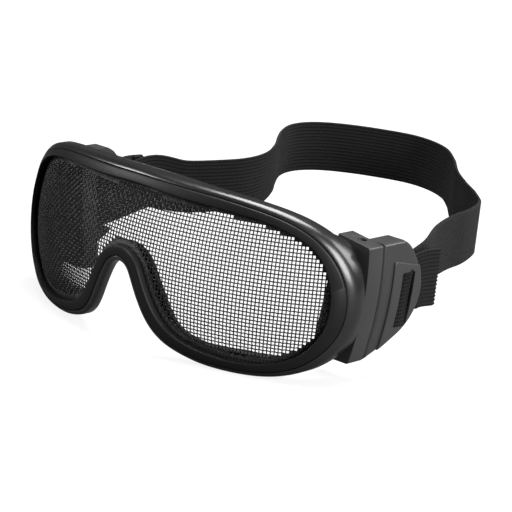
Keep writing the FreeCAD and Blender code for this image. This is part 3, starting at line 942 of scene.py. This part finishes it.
def clipEdge():
    return smoothRun([Vector(point) for point in clipCurve], clipShape["curveSpacing"])


def addKnuckle(piece, side):
    # the eye on the pin, with the web that joins it to the shell
    shape = clipShape
    low, high = shape["knuckleZ"]
    where = Vector((side * shape["pinX"], shape["pinY"], (low + high) / 2)) * mm + setDown
    bpy.ops.mesh.primitive_cylinder_add(vertices=shape["knuckleSides"], radius=shape["knuckle"] * mm,
                                        depth=(high - low) * mm, location=where)
    knuckle = bpy.context.active_object
    bpy.ops.object.transform_apply(location=True, rotation=False, scale=False)
    reach = rectangle(shape["pinY"], shape["front"] + shape["overrun"], low, high)
    carve(knuckle, prism(side, reach, *shape["web"]), "UNION")
    carve(piece, knuckle, "UNION")


def clipShell(name, side):
    shape = clipShape
    curve = clipEdge()
    topFront = Vector((shape["front"], clipCurve[0][1]))
    outline = curve[:-1] + evenRun(curve[-1], topFront) + evenRun(topFront, curve[0])
    piece = domedPiece(name, side, outline, lambda z: shape["inside"], 0, shape["round"])
    carve(piece, prism(side, shape["pocket"], shape["inside"] - shape["overrun"], shape["pocketOut"]))
    carveWindow(piece, side)
    low, high, *across = shape["bar"]
    carve(piece, prism(side, rectangle(*across), low, high), "UNION")
    addKnuckle(piece, side)
    faceOutwards(piece)
    shade("clip")
    return piece


def clipPad(name, side):
    shape = clipShape
    curve = insetLoop(clipEdge(), shape["padInset"])
    curve = [point for point in curve[1:-1] if point.x > shape["padFront"] and point.y < shape["padTopBack"]]
    topFront = Vector((shape["padFront"], shape["padTop"]))
    corner = [topFront + Vector(step) for step in shape["padCorner"]]
    bottomFront = Vector((shape["padFront"], curve[-1].y - shape["padFoot"]))
    outline = curve + evenRun(bottomFront, corner[0]) + corner + evenRun(corner[-1], curve[0])[1:]
    piece = domedPiece(name, side, outline, lambda z: crownX(z, 0) - shape["padSink"],
                       shape["padRaise"], shape["padRound"])
    carveWindow(piece, side)
    faceOutwards(piece)
    shade("clip")
    return piece


for side, sign in signOf.items():
    name = side.capitalize()
    block = carryOver("hinge_block_" + side, "hingeBlock" + name, clipShape["blockEdge"])
    dress(block, "clipGrey", "goggles", "clip_plastic", "hinge_block_" + side)
    dress(clipShell("strapClip" + name, sign), "clipGrey", bodyOf[side], "clip_plastic", "strap_clip_" + side)
    dress(clipPad("clipPad" + name, sign), "padGrey", bodyOf[side], "clip_plastic", "clip_cover_" + side)
    pin = carryOver("hinge_pin_" + side, "hingePin" + name, clipShape["pinEdge"])
    dress(pin, "pinSteel", "goggles", "pin_steel", "hinge_pin_" + side)
print("moulded pieces dressed")

# soft lip on the frame's back edge, thinner towards the nose
sealShape = {
    "gap": 0.4, "wide": 3.0, "noseWide": 1.2, "front": 4.0, "back": 2.6, "noseBack": 0.6, "steps": 8,
    "clear": 0.9, "least": 0.6, "limit": 45.0, "edge": (0.2 * mm, 1),
}


def sealLip():
    shape = sealShape
    nosePoints = len(rimNose)
    nose = [0] * (len(rimSide) - 1) + [step / nosePoints for step in range(nosePoints + 1)]
    nose += nose[-2:0:-1]
    rear = atRear(wallLoop, 0)
    start = shellShape["wallOut"] - shellShape["wall"] - shape["gap"]
    loops = []
    # the two front corners stand before and after the round back
    for step in range(shape["steps"] + 3):
        turn = math.pi * min(max(step - 1, 0), shape["steps"]) / shape["steps"]
        front = step in (0, shape["steps"] + 2)
        loop = []
        for index, share in enumerate(nose):
            wide = shape["wide"] + (shape["noseWide"] - shape["wide"]) * share
            back = shape["back"] + (shape["noseBack"] - shape["back"]) * share
            across = start - wide / 2 * (1 - math.cos(turn))
            point = grownWall(across)[index]
            seat = depthOnLens(point.x, point.y, -shellShape["sheet"] - shellShape["ledge"]) + shape["clear"]
            depth = rear[index].y + back - wide / 2 + wide / 2 * math.sin(turn)
            least = seat + shape["least"]
            if front:
                depth, least = rear[index].y - shape["front"], seat
            loop.append(Vector((point.x, min(max(depth, least), shape["limit"]), point.y)))
        loops.append(loop)
    return ringPiece("faceSealLip", loops, shape["edge"])


dress(sealLip(), "softSeal", "goggles", "soft_seal", "face_seal")
print("seal made")

# elastic strap, ribbed on the inner face
strapShape = {
    "width": webLook["width"], "thick": 1.5 * mm,
    "ribs": webLook["ribs"], "ribSteps": 6, "ribDepth": 0.42 * mm, "plushSteps": 24,
    "edgeRound": 0.8 * mm, "edgeDrop": 0.75, "spacing": 2.4, "tailSpacing": 1.1,
    "barX": 84.4, "offset": 2.25, "loopY": 66.2, "loopZ": -4.7, "loopSteps": 12,
    "foldStart": 90.0, "foldGap": 1.52, "foldSteps": 6,
    "windowY": 73.8, "windowReach": 4.1, "windowPower": 4, "swell": 2.2, "lean": -0.06,
    "blendX": 0.078, "blendY": (-0.024, 0.028), "blendZ": 0.04,
}
# places in X, Y and Z, with X outwards from the loop round the bar in the first two lists
tailLine = [(0, 72, -4.8), (-0.3, 77, -3.6), (-0.5, 82, -0.8), (-0.4, 88, 0.6), (0, 97.2, 0.2)]
mainStart = [(0, 71, -4.3), (-0.3, 78, -3), (-1.6, 88, -0.4), (-3.9, 99, 1.9)]
strapRoute = [(71.5, 115, 4.2), (66.8, 132, 5), (63.6, 149, 5), (57, 166, 5), (46.5, 178, 5),
              (31.5, 191, 5), (15, 207, 5), (0, 225, 5), (-14, 239, 5), (-28, 246.6, 5),
              (-42, 248.4, 5), (-56, 245, 4.8), (-71, 238, 4.6), (-82, 229, 4.5),
              (-87.6, 219, 4.4), (-88.4, 208, 4.2), (-84, 196, 4), (-75.5, 183, 3.8),
              (-65.5, 169, 3.3), (-58.5, 154, 2), (-58, 140, 0.9), (-63.5, 126, 0),
              (-71.8, 112, -0.6)]
middleOfBack = 7      # the two halves meet at this point of the route


def edgeShare(share):
    # how much of the thickness is left near the webbing's edges
    shape = strapShape
    edge = min(share, 1 - share) * shape["width"] / shape["edgeRound"]
    return 1 - max(0, 1 - edge) ** 2 * shape["edgeDrop"]


def strapSection():
    shape = strapShape
    face = shape["thick"] / 2
    count = shape["ribs"] * shape["ribSteps"]
    section = []
    for index in range(count + 1):
        share = index / count
        rib = 0.5 + 0.5 * math.cos(share * shape["ribs"] * 2 * math.pi)
        section.append(((share - 0.5) * shape["width"], (face - shape["ribDepth"] * rib) * edgeShare(share)))
    for index in range(1, shape["plushSteps"]):
        share = 1 - index / shape["plushSteps"]
        section.append(((share - 0.5) * shape["width"], -face * edgeShare(share)))
    return section


def strapPath(side, backPoints):
    # folded end, tail past the window, loop round the bar, then the free stretch to the back
    shape = strapShape
    outerX = side * (shape["barX"] + shape["offset"])
    innerX = side * (shape["barX"] - shape["offset"])
    tail = [Vector((outerX, shape["loopY"], shape["loopZ"]))]
    tail += [Vector((outerX + side * dx, y, z)) for dx, y, z in tailLine]
    tail = smoothRun(tail, shape["tailSpacing"])
    fold = []
    for step in range(1, shape["foldSteps"]):
        angle = math.pi * step / shape["foldSteps"]
        inward = -side * shape["foldGap"] / 2 * (1 - math.cos(angle))
        fold.append(tail[-1] + Vector((inward, shape["foldGap"] / 2 * math.sin(angle), 0)))
    gap = Vector((-side * shape["foldGap"], 0, 0))
    under = [point + gap for point in tail if point.y > shape["foldStart"]]
    loop = []
    for step in range(1, shape["loopSteps"]):
        angle = math.pi * step / shape["loopSteps"]
        x = side * shape["barX"] + side * shape["offset"] * math.cos(angle)
        loop.append(Vector((x, shape["loopY"] - shape["offset"] * math.sin(angle), shape["loopZ"])))
    main = [Vector((innerX, shape["loopY"], shape["loopZ"]))]
    main += [Vector((innerX + side * dx, y, z)) for dx, y, z in mainStart]
    main = smoothRun(main + backPoints, shape["spacing"])
    leans = []
    for point in tail:
        swell = math.exp(-((point.y - shape["windowY"]) / shape["windowReach"]) ** shape["windowPower"])
        point.x += side * shape["swell"] * swell
        leans.append(side * shape["lean"] * swell)
    path = under + fold[::-1] + tail[::-1] + loop + main
    leans = [0.0] * (len(under) + len(fold)) + leans[::-1] + [0.0] * (len(loop) + len(main))
    return [point * mm + setDown for point in path], leans


def sweptWebbing(name, side, section, path, leans):
    profile = bpy.data.curves.new(name + "Profile", "CURVE")
    profile.dimensions = "2D"
    polyLine(profile, [(-stand * side, across, 0) for across, stand in section])
    profile.splines[0].use_cyclic_u = True
    shaper = addObject(name + "Profile", profile)
    curve = bpy.data.curves.new(name, "CURVE")
    curve.dimensions = "3D"
    curve.twist_mode = "Z_UP"
    curve.bevel_mode = "OBJECT"
    curve.bevel_object = shaper
    polyLine(curve, path, leans)
    strap = addObject(name, curve)
    only(strap)
    bpy.ops.object.convert(target="MESH")
    bpy.data.objects.remove(shaper)
    return strap


def webbingMap(mesh, section, lengths):
    # lengths along and across the webbing, and the ribbed material on the ribbed face
    while mesh.uv_layers:
        mesh.uv_layers.remove(mesh.uv_layers[0])
    layer = mesh.uv_layers.new(name="webbing")
    lastRibbed = strapShape["ribs"] * strapShape["ribSteps"]
    for polygon in mesh.polygons:
        places = [divmod(mesh.loops[index].vertex_index, len(section)) for index in polygon.loop_indices]
        polygon.material_index = 1 if all(corner <= lastRibbed for ring, corner in places) else 0
        for index, (ring, corner) in zip(polygon.loop_indices, places):
            layer.data[index].uv = (lengths[ring], section[corner][0])


def strapHalf(name, side, backPoints):
    section = strapSection()
    path, leans = strapPath(side, backPoints)
    strap = sweptWebbing(name, side, section, path, leans)
    lengths = [0.0]
    for before, point in zip(path, path[1:]):
        lengths.append(lengths[-1] + (point - before).length)
    webbingMap(strap.data, section, lengths)
    with editing():
        fillHoles(False)
        turnOutwards()
    shade("strap")
    print(name, len(path), "rings of", len(section), "and length", round(lengths[-1], 3))
    return strap


route = [Vector(point) for point in strapRoute]
leftStrap = strapHalf("strapLeftHalf", signOf["left"], route[:middleOfBack + 1])
rightStrap = strapHalf("strapRightHalf", signOf["right"], route[middleOfBack:][::-1])
for strap, side in ((leftStrap, "left"), (rightStrap, "right")):
    strap.data.materials.append(finishes["webPlush"])
    strap.data.materials.append(finishes["webRibbed"])
    nodes = ["strap_end_" + side, "strap_hem_" + side]
    if side == "left":
        nodes.append("strap_band")
    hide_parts(*nodes)
    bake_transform(strap)
print("strap made")

# floor, light to the camera and dark to the other rays; soft lights by name, place, aim, size and power
studio = {
    "floor": {"size": 6.0, "dark": 0.12, "light": 0.9, "rough": 0.9, "glow": 0.86},
    "white": 1.0, "ambient": 0.07,
    "lights": [
        ("topSoft", (0.0, 0.1, 1.1), (0, 0, 0.03), 0.75, 27.0),
        ("rightSoft", (1.3, -0.15, 0.55), (0, -0.03, 0.03), 0.7, 26.0),
        ("leftGlint", (-1.1, -1.0, 0.7), (-0.05, -0.08, 0.03), 0.5, 14.0),
        ("backSoft", (0.9, 1.3, 1.0), (0, 0, 0.03), 0.8, 14.0),
    ],
}


def mixShaders(tree, share, first, second, output):
    mix = tree.nodes.new("ShaderNodeMixShader")
    for place, socket in enumerate((share, first, second)):
        tree.links.new(socket, mix.inputs[place])
    tree.links.new(mix.outputs[0], tree.nodes[output].inputs[0])


def studioFloor():
    look = studio["floor"]
    bpy.ops.mesh.primitive_plane_add(size=look["size"], location=(0, 0, 0))
    floor = bpy.context.active_object
    floor.name = "studioFloor"
    finish = Finish("paleFloor", look)
    seen = finish.node("ShaderNodeLightPath", output="Is Camera Ray")
    glow = finish.node("ShaderNodeEmission", {}, {"Color": grey(studio["white"])})
    finish.surface(Base_Color=finish.tones(seen), Roughness=look["rough"])
    share = seen * look["glow"]
    mixShaders(finish.tree, share.socket, finish.shader.outputs[0], glow.socket, "Material Output")
    floor.data.materials.append(finish.material)


def studioLights():
    for name, place, aim, size, power in studio["lights"]:
        lamp = bpy.data.lights.new(name, "AREA")
        lamp.size = size
        lamp.energy = power
        holder = addObject(name, lamp)
        holder.location = place
        holder.rotation_euler = (Vector(aim) - Vector(place)).to_track_quat("-Z", "Y").to_euler()


def studioWorld():
    world = bpy.data.worlds.new("paleWorld")
    world.use_nodes = True
    tree = world.node_tree
    seen = tree.nodes.new("ShaderNodeLightPath").outputs["Is Camera Ray"]
    ambient = tree.nodes["Background"]
    ambient.inputs["Strength"].default_value = studio["ambient"]
    shown = tree.nodes.new("ShaderNodeBackground")
    for background in (ambient, shown):
        background.inputs["Color"].default_value = grey(studio["white"])
    mixShaders(tree, seen, ambient.outputs[0], shown.outputs[0], "World Output")
    bpy.context.scene.world = world
    bpy.context.scene.view_settings.view_transform = "Standard"


studioFloor()
studioLights()
studioWorld()
print("studio set")
